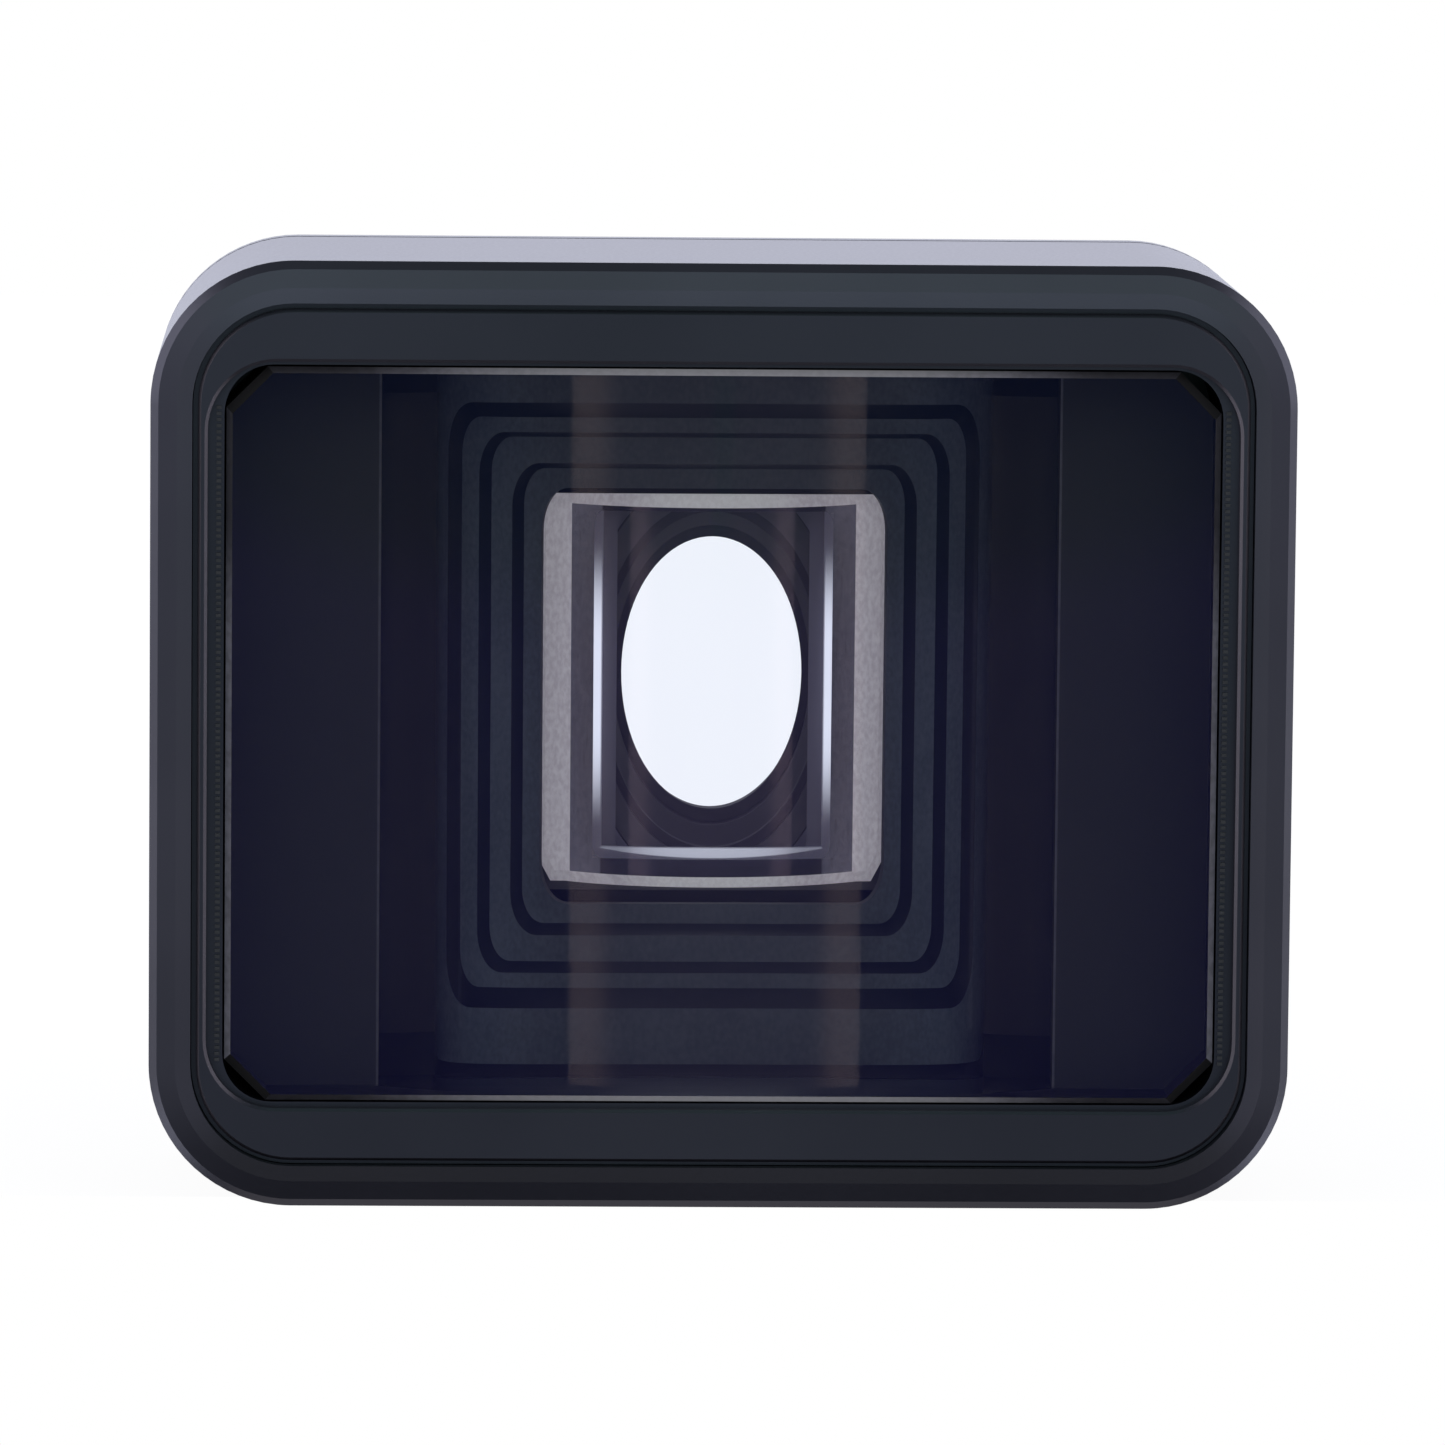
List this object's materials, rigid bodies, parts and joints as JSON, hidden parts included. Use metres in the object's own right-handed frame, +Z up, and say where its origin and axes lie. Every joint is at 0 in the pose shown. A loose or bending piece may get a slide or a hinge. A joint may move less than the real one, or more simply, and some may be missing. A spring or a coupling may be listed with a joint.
{
  "type": "anamorphic phone lens",
  "caption": "Clip-on wide-screen lens for a phone: a rounded alloy block with two cylinder lenses, a stepped baffle between them and a swivelling threaded mount with a lock ring.",
  "frame": {"origin": "on the optical axis at the shoulder of the mount thread", "axes": "+Y along the optical axis from the front lens towards the phone, +Z up, +X to the right seen from the front lens's side"},
  "size_m": [0.056, 0.0368, 0.0466],
  "materials": {
    "housing_alloy": "fine matt anodised",
    "frame_alloy": "fine matt anodised",
    "front_glass": "polished, coated",
    "rear_glass": "polished, ground lands",
    "baffle_black": "matt",
    "cell_alloy": "matt black",
    "seal_rubber": "matt",
    "screw_steel": "blackened",
    "washer_plastic": "smooth",
    "mount_alloy": "satin black",
    "ring_alloy": "satin anodised",
    "stop_black": "matt black",
    "pad_rubber": "matt"
  },
  "bodies": {
    "lens_body": {"front_housing": "housing_alloy", "front_frame": "frame_alloy", "frame_seal": "seal_rubber", "front_lens": "front_glass", "front_lens_pads": "seal_rubber", "stepped_baffle": "baffle_black", "baffle_seal": "seal_rubber", "rear_housing": "housing_alloy", "cell_seal": "seal_rubber", "rear_lens_cell": "cell_alloy", "rear_lens": "rear_glass", "rear_lens_mask": "stop_black", "cell_screws": "screw_steel", "cover_screws": "screw_steel", "locating_pins": "screw_steel", "slip_washer": "washer_plastic", "thrust_washer": "washer_plastic"},
    "mount": {"mount_barrel": "mount_alloy", "exit_stop": "stop_black"},
    "ring": {"lock_ring": "ring_alloy", "ring_stop_screw": "screw_steel", "face_pad": "pad_rubber"}
  },
  "joints": [
    {"name": "mount_swivel", "type": "hinge", "parent": "lens_body", "child": "mount", "pos_m": [0, 0, 0], "axis": [0, 1, 0], "continuous": true},
    {"name": "lock_ring_turn", "type": "hinge", "parent": "lens_body", "child": "ring", "pos_m": [0, 0, 0], "axis": [0, 1, 0], "range_deg": [0, 90]}
  ]
}
